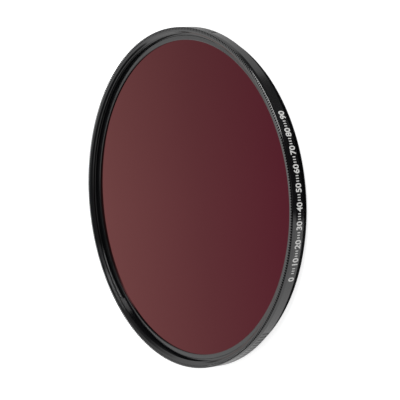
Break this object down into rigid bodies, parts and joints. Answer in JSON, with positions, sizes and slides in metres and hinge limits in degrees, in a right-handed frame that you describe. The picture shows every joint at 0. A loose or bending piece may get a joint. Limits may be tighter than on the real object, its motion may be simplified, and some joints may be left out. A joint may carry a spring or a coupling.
{
  "type": "solar filter",
  "caption": "Round screw-in solar filter for a camera lens: a toothed black ring with front and rear threads, a coated glass disc and a flat retaining ring.",
  "frame": {"origin": "centre of the rear end of the thread, where the filter lies on a flat surface", "axes": "+Z is the optical axis, from the rear thread to the front face; the marked smooth arc of the band faces about -Y"},
  "size_m": [0.0792, 0.0792, 0.0055],
  "materials": {
    "black_anodised_aluminium": "fine satin black anodised",
    "black_anodised_retainer": "satin black anodised",
    "coated_glass": "polished, dark red-brown reflecting coating"
  },
  "bodies": {
    "root": {"filter_ring": "black_anodised_aluminium", "retaining_ring": "black_anodised_retainer", "glass": "coated_glass"}
  },
  "joints": []
}
